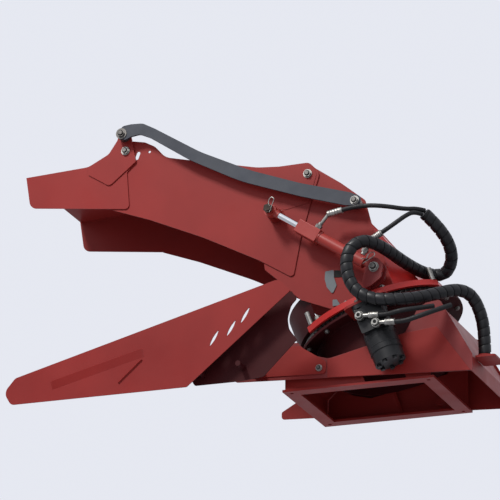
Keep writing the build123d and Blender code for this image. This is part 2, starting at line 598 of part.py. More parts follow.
# ---------------------------------------------------------------- guard beside the turntable
GUARD_SHEET = 3.0
GUARD = [
    (-1110, 66, 20), (-190, 310, 26), (-147, 268, 5), (-506, -24, 8), (-1125, -24, 20), (-1150, 20, 30),
]
guard_panel = plate(GUARD, GUARD_OFFSET - GUARD_SHEET, GUARD_SHEET)


def leaf(x, z, length, width, lean):
    """A slot shaped like a leaf, bounded by two arcs."""
    radius = (length**2 / 4 + width**2 / 4) / width
    shift = radius - width / 2
    lens = Pos(shift, 0, 0) * Circle(radius) & Pos(-shift, 0, 0) * Circle(radius)
    return Pos(x, -GUARD_OFFSET - 5, z) * Rot(0, lean, 0) * Rot(-90, 0, 0) * extrude(lens, amount=15)


LEAVES = [(-304, 199), (-352, 160), (-411, 132)]
for x, z in LEAVES:
    guard_panel -= leaf(x, z, 62, 10, 31)

SHIELD = [
    (-262, 252, 10), (-164, 284, 3), (-146, 256, 8), (-166, 236, 40), (-179, 193, 60), (-174, 156, 40),
    (-146, 117, 6), (-262, 4, 20), (-342, -4), (-500, -4, 10), (-520, 30, 20),
]
guard_shield = plate(SHIELD, SHIELD_OFFSET - GUARD_SHEET, GUARD_SHEET)
STAYS = [(-270, 215), (-330, 40), (-470, 30)]
stay_inner = SHIELD_OFFSET
guard_stays = [across(x, z, 9, -(GUARD_OFFSET - GUARD_SHEET), -stay_inner) for x, z in STAYS]
GUARD_FOOT = [(-400, 56, 6), (-104, 44, 12), (-100, 84, 14), (-196, 148, 14), (-258, 148, 14), (-398, 74, 6)]
foot_plate = plate(GUARD_FOOT, BASE_HALF_WIDTH, GUARD_SHEET)
foot_web = strip([(-352, 62, 0), (-318, 84, 0)], GUARD_SHEET, -(SHIELD_OFFSET - GUARD_SHEET), -(BASE_HALF_WIDTH + 1))
guard_foot = drilled(foot_plate + foot_web, (*CHEEK_BOLT, 6.2))
cheek_bolts = bolt(*CHEEK_BOLT, 6.0, BASE_HALF_WIDTH + GUARD_SHEET, base_inner - 14, -1)

# ---------------------------------------------------------------- hoses
def hose(name, points, radius):
    """A hose along straight runs joined by arcs as large as the runs allow; prints its radii."""
    points = [Vector(*p) for p in points]
    radii = []
    for before, here, after in zip(points, points[1:], points[2:]):
        turn = (here - before).get_angle(after - here)
        shorter = min((here - before).length, (after - here).length)
        radii.append(0.45 * shorter / math.tan(math.radians(turn / 2)))
    path = Wire(FilletPolyline(*points, radius=radii).edges())
    section = Plane(origin=path @ 0, z_dir=path % 0) * Circle(radius)
    tube = sweep(section, path=path)
    ideal = math.pi * radius**2 * path.length
    print(f"{name}: length {path.length:.0f}, radii {[round(r) for r in radii]}, "
          f"volume {tube.volume / ideal:.4f} of its section times its length")
    return tube


BUNDLE_ROUTE = [
    (240, -232, 560), (276, -196, 522), (302, -152, 470), (298, -112, 424), (262, -82, 388),
    (206, -106, 390), (164, -204, 404), (124, -310, 430), (80, -376, 442), (38, -398, 416),
    (22, -402, 366), (30, -400, 306), (58, -398, 258), (108, -394, 230), (170, -388, 223),
    (238, -350, 230), (298, -298, 256), (344, -240, 284), (376, -190, 284), (395, -162, 250),
    (407, -142, 196), (408, -130, 134), (408, -130.2, 84.5),
]
hose_bundle = hose("hose_bundle", BUNDLE_ROUTE, BUNDLE_RADIUS)
start_direction = (Vector(*BUNDLE_ROUTE[1]) - Vector(*BUNDLE_ROUTE[0])).normalized()
side_step = (Vector(0, 0, 1) - start_direction * start_direction.Z).normalized() * 9

# Tail fittings of the cylinder's two ports
ROD_PORT = GLAND_START + 62
rod_port_foot = on_cylinder(ROD_PORT, 0, GLAND_SIDE / 2).position
rod_port_head = on_cylinder(ROD_PORT, 0, GLAND_SIDE / 2 + 22).position
BASE_PORT = reach - 68
base_port_foot = on_cylinder(BASE_PORT, 0, BARREL_RADIUS).position
base_port_head = on_cylinder(BASE_PORT, 0, BARREL_RADIUS + 44).position
rod_ferrule = [rod_port_head + Vector(28, -4, 27), rod_port_head + Vector(76, -8, 34)]
base_ferrule = [base_port_head + Vector(14, -4, 14), base_port_head + Vector(44, -6, 30)]
TAIL_RADIUS = 6.0
rod_tail = rod_between(rod_port_foot, rod_port_head, TAIL_RADIUS + 2) + rod_between(
    rod_port_head - Vector(0, 0, 3), rod_ferrule[0], TAIL_RADIUS
)
rod_tail += rod_between(rod_ferrule[0], rod_ferrule[1], FERRULE_RADIUS)
base_tail = rod_between(base_port_foot, base_port_head, TAIL_RADIUS + 2) + rod_between(
    base_port_head - Vector(0, 0, 3), base_ferrule[0], TAIL_RADIUS
)
base_tail += rod_between(base_ferrule[0], base_ferrule[1], FERRULE_RADIUS)

bundle_start = Vector(*BUNDLE_ROUTE[0])


def leaving(ferrule, first_run):
    """The first two points of a hose that leaves a ferrule straight."""
    step = (ferrule[1] - ferrule[0]).normalized()
    return [tuple(ferrule[1] + step * 0.6), tuple(ferrule[1] + step * first_run)]


ROD_HOSE_ROUTE = [
    *leaving(rod_ferrule, 34), (76, -316, 580), (134, -302, 574), (186, -272, 568), (222, -249, 573),
    tuple(bundle_start - start_direction * 4 + side_step),
]
BASE_HOSE_ROUTE = [
    *leaving(base_ferrule, 36), (198, -290, 542), (216, -260, 559),
    tuple(bundle_start - start_direction * 4 - side_step),
]
hose_rod_side = hose("hose_rod_side", ROD_HOSE_ROUTE, HOSE_RADIUS)
hose_base_side = hose("hose_base_side", BASE_HOSE_ROUTE, HOSE_RADIUS)
MOTOR_HOSE_ROUTES = [
    [*leaving(motor_ferrules_ends[0], 30), (202, -394, 181), (250, -372, 189), (296, -328, 206)],
    [*leaving(motor_ferrules_ends[1], 30), (258, -384, 157), (306, -358, 180), (350, -312, 208)],
]
hose_motor_1, hose_motor_2 = [hose("hose_motor", route, MOTOR_HOSE_RADIUS) for route in MOTOR_HOSE_ROUTES]

# The bundle ends in a bulkhead plate behind the base.
bulkhead_plate = fillet(Box(70, 110, 6).edges().filter_by(Axis.Z), 10)
hose_bulkhead = Pos(423, -130, 67) * bulkhead_plate
bulkhead_collar = Pos(408, -130, 77) * Cylinder(BUNDLE_RADIUS + 4, 14)

# ---------------------------------------------------------------- write every node
save("base_flange", base_flange)
save("base_cheek_near", cheek_near)
save("base_cheek_far", cheek_far)
save("base_top_sheet", base_top)
save("base_rear_wall", base_rear_wall)
save("base_front_wall", base_front_wall)
save("base_duct", *duct_sides, *duct_stays)
save("neck_tube", neck_tube)
save("bearing_flange", bearing_flange)
save("slide_ring", slide_ring)
save("motor_bracket", motor_bracket)
save("motor_housing", motor_housing)
save("motor_gerotor", motor_gerotor)
save("motor_end_cover", motor_end_cover)
save("motor_cover_bolts", *cover_bolts)
save("motor_port_block", motor_port_block)
save("motor_fittings", *motor_fittings)
save("drive_pinion", drive_pinion)
save("guard_panel", guard_panel)
save("guard_shield", guard_shield)
save("guard_stays", *guard_stays)
save("guard_foot", guard_foot)
save("guard_foot_bolt", cheek_bolts)
save("hose_bulkhead", hose_bulkhead, bulkhead_collar)
save("turntable_disc", turntable_disc)
save("slew_gear", slew_gear)
save("disc_bolts", *disc_bolts)
save("hose_guides", *hose_guides)
save("elbow_side_near", elbow_side_near)
save("elbow_side_far", elbow_side_far)
save("elbow_roof", elbow_roof)
save("elbow_rear_wall", elbow_rear_wall)
save("elbow_facets", elbow_facet_near, elbow_facet_far)
save("elbow_apron", elbow_apron)
save("inspection_covers", *inspection_covers)
save("link_rear_bolt", link_rear_pin)
save("boom_pivot_bolts", *boom_pivot_bolts)
save("cylinder_clevis", cylinder_clevis)
save("cylinder_base_pin", base_pin)
save("boom_side_near", boom_side_near)
save("boom_side_far", boom_side_far)
save("boom_roof", boom_roof)
save("boom_doubler", boom_doubler)
save("rod_boss", rod_boss)
save("flap_side_near", flap_side_near)
save("flap_side_far", flap_side_far)
save("flap_lugs", flap_lug_near, flap_lug_far)
save("flap_roof", flap_roof)
save("flap_pivot_bolts", *flap_pivot_bolts)
save("link_front_bolt", link_front_pin)
save("link_bar", link_bar)
save("cylinder_barrel", barrel_tube, gland_block, base_eye)
save("cylinder_fittings", rod_tail, base_tail)
save("piston_rod", piston_rod, piston)
save("rod_eye", rod_eye, rod_pin)
save("hose_bundle", hose_bundle)
save("hose_rod_side", hose_rod_side)
save("hose_base_side", hose_base_side)
save("hose_motor_1", hose_motor_1)
save("hose_motor_2", hose_motor_2)
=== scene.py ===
"""Looks of the straw blower's discharge chute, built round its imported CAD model.

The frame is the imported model's own, in metres: the origin is the centre of the base flange's underside, +Z is
up, the chute blows towards -X, and its near side, with the motor, cylinder and link bar, is -Y.
"""

import json
import math

import bmesh
import bpy
from mathutils import Matrix, Vector


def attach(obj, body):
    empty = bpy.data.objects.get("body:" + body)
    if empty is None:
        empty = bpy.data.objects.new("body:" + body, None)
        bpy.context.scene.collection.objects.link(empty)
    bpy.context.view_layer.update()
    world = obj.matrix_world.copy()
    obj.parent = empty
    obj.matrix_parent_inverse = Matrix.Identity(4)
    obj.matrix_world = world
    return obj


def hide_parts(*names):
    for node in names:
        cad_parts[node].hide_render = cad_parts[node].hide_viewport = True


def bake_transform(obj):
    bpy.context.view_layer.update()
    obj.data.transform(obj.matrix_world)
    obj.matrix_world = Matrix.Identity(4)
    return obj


# ---------------------------------------------------------------- dimensions shared with the CAD, in metres
TURNTABLE = Vector((0, 0, 0.270))
TILT = math.radians(20)
SLEW = Matrix.Translation(TURNTABLE) @ Matrix.Rotation(-TILT, 4, "Y")

ELBOW_OUTER = 0.2375
GUARD_OUTER = 0.460
BASE_OUTER = 0.235

MOTOR_ANGLE = math.radians(-80)
GEAR_CENTRE = 0.306
MOTOR_A = GEAR_CENTRE * math.cos(MOTOR_ANGLE)
MOTOR_B = GEAR_CENTRE * math.sin(MOTOR_ANGLE)
MOTOR_TOP = -0.050
PORT_FACE = -0.066

ROD_END = Vector((-0.270, -0.300, 0.605))
CYLINDER_BASE = Vector((0.093, -0.300, 0.363))
ROD_PORT_REACH = 0.180  # from the rod pin to the rod side's port
BASE_PORT_BACK = 0.068  # from the base pin to the base side's port

BUNDLE_DIAMETER = 0.042
HOSE_DIAMETER = 0.015
MOTOR_HOSE_DIAMETER = 0.016

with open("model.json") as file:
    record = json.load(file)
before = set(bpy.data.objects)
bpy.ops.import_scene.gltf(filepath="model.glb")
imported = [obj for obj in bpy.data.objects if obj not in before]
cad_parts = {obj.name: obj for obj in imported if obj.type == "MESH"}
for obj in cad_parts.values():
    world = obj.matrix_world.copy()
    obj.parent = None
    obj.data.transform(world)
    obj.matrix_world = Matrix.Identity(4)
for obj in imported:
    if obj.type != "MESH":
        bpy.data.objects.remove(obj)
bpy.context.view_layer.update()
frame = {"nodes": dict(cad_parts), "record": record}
nodes = frame["nodes"]


# ---------------------------------------------------------------- materials
def material(name, colour, roughness, metallic=0.0):
    """A Principled material with uniform numbers on the shader's own sockets."""
    made = bpy.data.materials.new(name)
    made.use_nodes = True
    shader = made.node_tree.nodes["Principled BSDF"]
    shader.inputs["Base Color"].default_value = (*colour, 1)
    shader.inputs["Roughness"].default_value = roughness
    shader.inputs["Metallic"].default_value = metallic
    return made


def noise(made, scale, detail=4.0):
    """A noise texture in the object's own coordinates."""
    tree = made.node_tree
    place = tree.nodes.new("ShaderNodeTexCoord")
    texture = tree.nodes.new("ShaderNodeTexNoise")
    texture.inputs["Scale"].default_value = scale
    texture.inputs["Detail"].default_value = detail
    texture.inputs["Roughness"].default_value = 0.6
    tree.links.new(place.outputs["Object"], texture.inputs["Vector"])
    return texture.outputs["Fac"]


def ramp(made, factor, stops):
    """A colour ramp through (position, colour) stops."""
    node = made.node_tree.nodes.new("ShaderNodeValToRGB")
    made.node_tree.links.new(factor, node.inputs["Fac"])
    elements = node.color_ramp.elements
    elements[0].position, elements[0].color = stops[0][0], (*stops[0][1], 1)
    elements[1].position, elements[1].color = stops[-1][0], (*stops[-1][1], 1)
    for position, colour in stops[1:-1]:
        elements.new(position).color = (*colour, 1)
    return node.outputs["Color"]


def bump(made, factor, strength, distance):
    """Small relief from a factor."""
    tree = made.node_tree
    node = tree.nodes.new("ShaderNodeBump")
    node.inputs["Strength"].default_value = strength
    node.inputs["Distance"].default_value = distance
    tree.links.new(factor, node.inputs["Height"])
    tree.links.new(node.outputs["Normal"], tree.nodes["Principled BSDF"].inputs["Normal"])


def varied(name, dark, light, roughness, metallic, scale, relief=0.0, coat=0.0, gloss=0.35):
    """A finish whose colour and roughness drift slightly over the surface."""
    made = material(name, light, roughness, metallic)
    shader = made.node_tree.nodes["Principled BSDF"]
    patches = noise(made, scale)
    made.node_tree.links.new(ramp(made, patches, [(0.35, dark), (0.65, light)]), shader.inputs["Base Color"])
    smears = noise(made, scale * 3, 6.0)
    low = [max(roughness - 0.07, 0.0)] * 3
    high = [min(roughness + 0.09, 1.0)] * 3
    made.node_tree.links.new(ramp(made, smears, [(0.35, low), (0.7, high)]), shader.inputs["Roughness"])
    shader.inputs["Coat Weight"].default_value = coat
    shader.inputs["Specular IOR Level"].default_value = gloss
    shader.inputs["Coat Roughness"].default_value = 0.15
    if relief:
        bump(made, noise(made, 180.0, 3.0), 0.25, relief)
    return made


paint = varied("red_paint", (0.185, 0.012, 0.010), (0.230, 0.016, 0.013), 0.46, 0.0, 2.2, 0.0002, 0.03, 0.2)
# Painted light: a brighter copy of the red paint for surfaces where light falls.
painted_light_red = varied(
    "painted_light_red_paint", (0.36, 0.012, 0.010), (0.44, 0.016, 0.013), 0.40, 0.0, 4.0, 0.0002, 0.08
)
paint_dark = varied(
    "shaded_red_paint", (0.030, 0.002, 0.003), (0.045, 0.003, 0.004), 0.6, 0.0, 3.0, 0.0002, 0.0, 0.15
)
# Painted shade: a deeper copy of the red paint for parts that lie in shade.
painted_shade_deep_red = varied(
    "painted_shade_deep_red_paint", (0.135, 0.008, 0.008), (0.175, 0.010, 0.010), 0.45, 0.0, 3.0, 0.0002, 0.05
)
paint_cylinder = varied("cylinder_paint", (0.24, 0.022, 0.017), (0.30, 0.028, 0.021), 0.38, 0.0, 5.0, 0.0, 0.1)
slate = varied("slate_paint", (0.022, 0.026, 0.036), (0.032, 0.037, 0.050), 0.55, 0.0, 4.0, 0.0002)
black_paint = varied("black_paint", (0.003, 0.003, 0.004), (0.006, 0.006, 0.007), 0.42, 0.0, 8.0, 0.0003)
grey_plate = varied("grey_plate", (0.085, 0.10, 0.11), (0.11, 0.125, 0.135), 0.5, 0.0, 6.0)
zinc = varied("zinc", (0.22, 0.215, 0.20), (0.38, 0.37, 0.35), 0.42, 0.95, 40.0)
chrome = material("rod_chrome", (0.80, 0.81, 0.83), 0.10, 1.0)
oiled_steel = varied("oiled_steel", (0.022, 0.015, 0.012), (0.050, 0.034, 0.026), 0.4, 0.6, 30.0, 0.0002)
dark_steel = varied("dark_steel", (0.10, 0.095, 0.09), (0.17, 0.16, 0.15), 0.45, 0.8, 20.0, 0.0002)
ring_steel = varied("ring_steel", (0.16, 0.15, 0.14), (0.26, 0.25, 0.24), 0.4, 0.85, 14.0, 0.0002)
plastic = varied("slide_plastic", (0.60, 0.58, 0.50), (0.68, 0.66, 0.58), 0.55, 0.0, 10.0)
wrap_plastic = varied("wrap_plastic", (0.004, 0.004, 0.005), (0.007, 0.007, 0.009), 0.42, 0.0, 14.0)
rubber = varied("hose_rubber", (0.003, 0.003, 0.004), (0.006, 0.006, 0.007), 0.6, 0.0, 40.0, 0.0003)
# Painted shade: near-black for recesses, sockets and gaps that lie in shade.
hollow = material("deep_shade", (0.003, 0.003, 0.003), 0.9)

FINISHES = {
    "red_paint": paint,
    "zinc": zinc,
    "dark_slate_paint": slate,
    "black_paint": black_paint,
    "grey_plate": grey_plate,
    "ring_steel": ring_steel,
    "slide_plastic": plastic,
    "cylinder_paint": paint_cylinder,
    "rod_chrome": chrome,
    "hose_rubber": rubber,
}
slot_of = {part["node"]: part["material_slot"] for part in frame["record"]["subparts"]}
for name, obj in nodes.items():
    obj.data.materials.clear()
    obj.data.materials.append(FINISHES[slot_of[name]])
# Painted light: the turntable disc, the elbow's rear wall and its facets take the brighter red as lit surfaces.
for name in ("turntable_disc", "elbow_rear_wall", "elbow_facets"):
    nodes[name].data.materials[0] = painted_light_red


# ---------------------------------------------------------------- building helpers
BEAD_SIDES = 8


def mesh_object(name, build, finish, body, smooth=True):
    """A mesh made by build(bmesh), with a finish, riding on a body unless that is None."""
    data = bpy.data.meshes.new(name)
    work = bmesh.new()
    build(work)
    bmesh.ops.recalc_face_normals(work, faces=work.faces)
    work.to_mesh(data)
    work.free()
    obj = bpy.data.objects.new(name, data)
    bpy.context.scene.collection.objects.link(obj)
    data.materials.append(finish)
    if smooth:
        for face in data.polygons:
            face.use_smooth = True
        data.set_sharp_from_angle(angle=math.radians(35))
    if body:
        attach(obj, body)
    return obj


def turned(work, matrix, profile, sides=32):
    """Adds a body of revolution: profile is (radius, height) along the matrix's Z."""
    rings = []
    for radius, height in profile:
        if radius < 1e-7:
            rings.append([work.verts.new(matrix @ Vector((0, 0, height)))])
            continue
        spots = [(*corner, height) for corner in regular(sides, radius)]
        rings.append([work.verts.new(matrix @ Vector(spot)) for spot in spots])
    for low, high in zip(rings, rings[1:]):
        for k in range(sides):
            after = (k + 1) % sides
            if len(low) == 1:
                work.faces.new((low[0], high[after], high[k]))
            elif len(high) == 1:
                work.faces.new((low[k], low[after], high[0]))
            else:
                work.faces.new((low[k], low[after], high[after], high[k]))


def prism(work, matrix, corners, low, high):
    """Adds an upright prism over (x, y) corners."""
    bottom = [work.verts.new(matrix @ Vector((x, y, low))) for x, y in corners]
    top = [work.verts.new(matrix @ Vector((x, y, high))) for x, y in corners]
    work.faces.new(bottom[::-1])
    work.faces.new(top)
    for k in range(len(corners)):
        after = (k + 1) % len(corners)
        work.faces.new((bottom[k], bottom[after], top[after], top[k]))


def regular(count, radius, turn=0.0):
    """The corners of a regular polygon."""
    steps = [turn + 2 * math.pi * k / count for k in range(count)]
    return [(radius * math.cos(t), radius * math.sin(t)) for t in steps]


# As shares of the nut's radius and height
NUT_FACE = [(0.86, 0.86), (0.86, 1), (0.58, 1), (0, 1)]
NUT_BOLT_END = [(0.52, 0.9), (0.52, 1.22), (0.42, 1.3), (0, 1.3)]


def nut(work, matrix, radius, height):
    """Adds a hexagon nut with a raised round face and a bolt end in it."""
    prism(work, matrix, regular(6, radius), 0.0, height * 0.88)
    for profile in (NUT_FACE, NUT_BOLT_END):
        turned(work, matrix, [(radius * wide, height * high) for wide, high in profile], 24)


def towards(point, direction, up=(0, 0, 1)):
    """A matrix at a point whose Z runs along a direction."""
    z = Vector(direction).normalized()
    x = Vector(up).cross(z)
    if x.length < 1e-4:
        x = Vector((1, 0, 0)).cross(z)
    x.normalize()
    y = z.cross(x)
    turn = Matrix((x, y, z)).transposed().to_4x4()
    return Matrix.Translation(Vector(point)) @ turn


def sideways(x, z, outer):
    """A matrix on a near side plate: Z points out of the plate."""
    return towards((x, -outer, z), (0, -1, 0))


def bead(work, points, radius):
    """Adds a weld bead: a lumpy tube along a polyline."""
    rings = []
    count = len(points)
    section = regular(BEAD_SIDES, 1.0)
    for k, point in enumerate(points):
        before = Vector(points[max(k - 1, 0)])
        after = Vector(points[min(k + 1, count - 1)])
        place = towards(point, after - before, (0.2, 1, 0.1))
        wide = radius * (1 + 0.16 * math.sin(2.4 * k) + 0.1 * math.sin(5.1 * k))
        if k in (0, count - 1):
            wide *= 0.35
        rings.append([work.verts.new(place @ Vector((wide * c[0], wide * c[1], 0))) for c in section])
    for low, high in zip(rings, rings[1:]):
        for k in range(BEAD_SIDES):
            after = (k + 1) % BEAD_SIDES
            work.faces.new((low[k], low[after], high[after], high[k]))
    work.faces.new(rings[0][::-1])
    work.faces.new(rings[-1])


def between(start, end, step=0.004):
    """Points from start to end, a step apart."""
    start, end = Vector(start), Vector(end)
    count = max(int((end - start).length / step), 2)
    return [start.lerp(end, k / count) for k in range(count + 1)]


def bevelled(obj, width):
    """Rounds the sharp edges of a piece."""
    edge = obj.modifiers.new("edge", "BEVEL")
    edge.width = width
    edge.segments = 2
    edge.limit_method = "ANGLE"
    edge.angle_limit = math.radians(40)
    edge.harden_normals = False


# ---------------------------------------------------------------- CAD sheets get softly rounded edges
SHEET_NODES = [
    "elbow_side_near", "elbow_side_far", "boom_side_near", "boom_side_far", "flap_side_near", "flap_side_far",
    "flap_lugs", "link_bar", "guard_panel", "guard_shield", "guard_foot", "base_cheek_near", "base_cheek_far",
    "inspection_covers", "turntable_disc", "cylinder_clevis", "motor_bracket", "base_flange",
]
for name in SHEET_NODES:
    bevelled(nodes[name], 0.0008)
for name in ("motor_housing", "motor_gerotor", "motor_end_cover", "motor_port_block", "cylinder_barrel"):
    bevelled(nodes[name], 0.0012)


# ---------------------------------------------------------------- hoses
def nurbs(name, points, radius, finish):
    """A round hose along the route's points, as one open spline."""
    data = bpy.data.curves.new(name, "CURVE")
    data.dimensions = "3D"
    spline = data.splines.new("NURBS")
    spline.points.add(len(points) - 1)
    for spot, point in zip(spline.points, points):
        spot.co = (*point, 1)
    spline.order_u = 3
    spline.use_endpoint_u = True
    spline.resolution_u = 16
    data.bevel_depth = radius
    data.bevel_resolution = 6
    data.use_fill_caps = True
    data.materials.append(finish)
    obj = bpy.data.objects.new(name, data)
    bpy.context.scene.collection.objects.link(obj)
    return obj


def centreline(obj):
    """The points that a hose's spline really passes through."""
    depth = obj.data.bevel_depth
    caps = obj.data.use_fill_caps
    obj.data.bevel_depth = 0.0
    obj.data.use_fill_caps = False
    bpy.context.view_layer.update()
    ready = obj.evaluated_get(bpy.context.evaluated_depsgraph_get())
    line = bpy.data.meshes.new_from_object(ready)
    points = [vertex.co.copy() for vertex in line.vertices]
    bpy.data.meshes.remove(line)
    obj.data.bevel_depth = depth
    obj.data.use_fill_caps = caps
    return points


class Track:
    """A centreline with a frame that doesn't twist, looked up by length along it."""

    def __init__(self, points):
        self.points = points
        self.reach = [0.0]
        for before, after in zip(points, points[1:]):
            self.reach.append(self.reach[-1] + (after - before).length)
        side = (points[1] - points[0]).orthogonal().normalized()
        self.sides = []
        for k in range(len(points)):
            step = (points[min(k + 1, len(points) - 1)] - points[max(k - 1, 0)]).normalized()
            side = (side - step * side.dot(step)).normalized()
            self.sides.append(side.copy())
        self.spot = 0

    def at(self, length, angle, radius):
        """The point at a length along, turned by an angle round the line, a radius away from it."""
        length = min(max(length, 0.0), self.reach[-1])
        while self.spot > 0 and self.reach[self.spot] > length:
            self.spot -= 1
        while self.spot < len(self.reach) - 2 and self.reach[self.spot + 1] < length:
            self.spot += 1
        k = self.spot
        run = self.reach[k + 1] - self.reach[k]
        share = (length - self.reach[k]) / run if run > 0 else 0.0
        centre = self.points[k].lerp(self.points[k + 1], share)
        step = (self.points[k + 1] - self.points[k]).normalized()
        side = self.sides[k].lerp(self.sides[k + 1], share)
        side = (side - step * side.dot(step)).normalized()
        other = step.cross(side)
        return centre + side * (radius * math.cos(angle)) + other * (radius * math.sin(angle))


BUNDLE_ROUTE = [
    (0.240, -0.232, 0.560), (0.276, -0.196, 0.522), (0.302, -0.152, 0.470), (0.298, -0.112, 0.424),
    (0.262, -0.082, 0.388), (0.206, -0.106, 0.390), (0.164, -0.204, 0.404), (0.124, -0.310, 0.430),
    (0.080, -0.376, 0.442), (0.038, -0.398, 0.416), (0.022, -0.402, 0.366), (0.030, -0.400, 0.306),
    (0.058, -0.398, 0.258), (0.108, -0.394, 0.230), (0.170, -0.388, 0.223), (0.238, -0.350, 0.230),
    (0.298, -0.298, 0.256), (0.344, -0.240, 0.284), (0.376, -0.190, 0.284), (0.395, -0.162, 0.250),
    (0.407, -0.142, 0.196), (0.408, -0.130, 0.134), (0.408, -0.1302, 0.0845),
]
CORE_RADIUS = 0.0182
bundle_curve = nurbs("bundle_line", BUNDLE_ROUTE, CORE_RADIUS, rubber)
bundle_line = centreline(bundle_curve)
bpy.data.objects.remove(bundle_curve)
CORE_SIDES = 24


def bundle_core(work):
    """The hoses inside the wrap, as one round tube."""
    track = Track(bundle_line)
    rings = []
    for length in track.reach:
        angles = [2 * math.pi * k / CORE_SIDES for k in range(CORE_SIDES)]
        rings.append([work.verts.new(track.at(length, angle, CORE_RADIUS)) for angle in angles])
    for low, high in zip(rings, rings[1:]):
        for k in range(CORE_SIDES):
            after = (k + 1) % CORE_SIDES
            work.faces.new((low[k], low[after], high[after], high[k]))
    work.faces.new(rings[0][::-1])
    work.faces.new(rings[-1])


WRAP_PITCH = 0.0292
WRAP_WIDTH = 0.0258
WRAP_STEPS = 20
WRAP_SECTION = [(-0.5, -0.0022), (-0.5, -0.0006), (-0.42, 0.0), (0.42, 0.0), (0.5, -0.0006), (0.5, -0.0022)]


def spiral_wrap(work):
    """A flat plastic band wound round the bundle, with a narrow slit between its turns."""
    track = Track(bundle_line)
    turns = track.reach[-1] / WRAP_PITCH
    count = int(turns * WRAP_STEPS)
    previous = None
    for k in range(count + 1):
        turn = k / WRAP_STEPS
        angle = 2 * math.pi * turn
        row = []
        for share, lift in WRAP_SECTION:
            length = turn * WRAP_PITCH + share * WRAP_WIDTH
            row.append(work.verts.new(track.at(length, angle, BUNDLE_DIAMETER / 2 + lift)))
        if previous:
            for j in range(len(row)):
                after = (j + 1) % len(row)
                work.faces.new((previous[j], previous[after], row[after], row[j]))
        previous = row


def slew_blend(obj):
    """Bakes the piece's placement into its mesh; it stays on no body."""
    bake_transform(obj)


def plain_mesh(name, build, finish):
    """A smooth mesh that isn't put on a body."""
    data = bpy.data.meshes.new(name)
    work = bmesh.new()
    build(work)
    bmesh.ops.remove_doubles(work, verts=work.verts, dist=1e-6)
    bmesh.ops.recalc_face_normals(work, faces=work.faces)
    work.to_mesh(data)
    work.free()
    data.materials.append(finish)
    for face in data.polygons:
        face.use_smooth = True
    data.set_sharp_from_angle(angle=math.radians(40))
    obj = bpy.data.objects.new(name, data)
    bpy.context.scene.collection.objects.link(obj)
    return obj


bundle = plain_mesh("bundle_core", bundle_core, rubber)
wrap = plain_mesh("bundle_wrap", spiral_wrap, wrap_plastic)
slew_blend(bundle)
slew_blend(wrap)
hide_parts("hose_bundle")

# The cylinder's own directions: along it from the rod end to the base, and towards its upper side
CYLINDER_RUN = (CYLINDER_BASE - ROD_END).normalized()
CYLINDER_UP = Vector((-CYLINDER_RUN.z, 0, CYLINDER_RUN.x))
CYLINDER_REACH = (CYLINDER_BASE - ROD_END).length


def on_cylinder(x, z=0.0):
    """A point at the cylinder: x from the rod pin, z towards its upper side."""
    return ROD_END + CYLINDER_RUN * x + CYLINDER_UP * z


def at_motor(h, a=0.0, b=0.0):
    """A matrix at the motor's axis, h above the turntable's face."""
    return SLEW @ Matrix.Translation((MOTOR_A + a, MOTOR_B + b, h))


def leaving(ferrule, first_run):
    """The first two points of a hose that leaves a ferrule straight."""
    step = (ferrule[1] - ferrule[0]).normalized()
    return [ferrule[1] + step * 0.0006, ferrule[1] + step * first_run]


rod_port = on_cylinder(ROD_PORT_REACH, 0.045)
base_port = on_cylinder(CYLINDER_REACH - BASE_PORT_BACK, 0.064)
rod_ferrule = [rod_port + Vector((0.028, -0.004, 0.027)), rod_port + Vector((0.076, -0.008, 0.034))]
base_ferrule = [base_port + Vector((0.014, -0.004, 0.014)), base_port + Vector((0.044, -0.006, 0.030))]
bundle_start = Vector(BUNDLE_ROUTE[0])
start_run = (Vector(BUNDLE_ROUTE[1]) - bundle_start).normalized()
side_step = (Vector((0, 0, 1)) - start_run * start_run.z).normalized() * 0.009
ROD_HOSE_ROUTE = [
    *leaving(rod_ferrule, 0.034), (0.076, -0.316, 0.580), (0.134, -0.302, 0.574), (0.186, -0.272, 0.568),
    (0.222, -0.249, 0.573), bundle_start - start_run * 0.004 + side_step,
]
BASE_HOSE_ROUTE = [
    *leaving(base_ferrule, 0.036), (0.198, -0.290, 0.542), (0.216, -0.260, 0.559),
    bundle_start - start_run * 0.004 - side_step,
]
PORTS = [(-0.026, MOTOR_TOP - 0.054), (0.016, MOTOR_TOP - 0.100)]
motor_ferrules = []
for a, h in PORTS:
    mouth = at_motor(h, a, PORT_FACE - 0.012).translation
    neck = mouth + Vector((0.034, 0, -0.001))
    motor_ferrules.append((neck, neck + Vector((0.030, 0, -0.002))))
MOTOR_HOSE_ROUTES = [
    [*leaving(motor_ferrules[0], 0.030), (0.202, -0.394, 0.181), (0.250, -0.372, 0.189), (0.296, -0.328, 0.206)],
    [*leaving(motor_ferrules[1], 0.030), (0.258, -0.384, 0.157), (0.306, -0.358, 0.180), (0.350, -0.312, 0.208)],
]
SMALL_HOSES = [
    ("rod_side", ROD_HOSE_ROUTE, 0.285, HOSE_DIAMETER, "swivel", "object"),
    ("base_side", BASE_HOSE_ROUTE, 0.168, HOSE_DIAMETER, "swivel", "object"),
    ("motor_1", MOTOR_HOSE_ROUTES[0], 0.195, MOTOR_HOSE_DIAMETER, "root", "bare"),
    ("motor_2", MOTOR_HOSE_ROUTES[1], 0.205, MOTOR_HOSE_DIAMETER, "root", "bare"),
]
for name, route, length, diameter, body, far_end in SMALL_HOSES:
    hose = nurbs(name + "_hose", route, diameter / 2, rubber)
    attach(hose, body)
    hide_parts("hose_" + name)

# ---------------------------------------------------------------- other finishes
# These parts sit in shade in the scene's own view, so their red is darker.
for name in ("neck_tube", "bearing_flange", "elbow_apron", "guard_shield", "guard_stays", "base_top_sheet"):
    nodes[name].data.materials[0] = paint_dark
# Painted shade: the near cheek and the cylinder's clevis take the deeper red as shaded parts.
nodes["base_cheek_near"].data.materials[0] = painted_shade_deep_red
nodes["cylinder_clevis"].data.materials[0] = painted_shade_deep_red
nodes["motor_cover_bolts"].data.materials[0] = black_paint
nodes["slew_gear"].data.materials[0] = dark_steel
nodes["link_front_bolt"].data.materials[0] = dark_steel
nodes["drive_pinion"].data.materials[0] = dark_steel


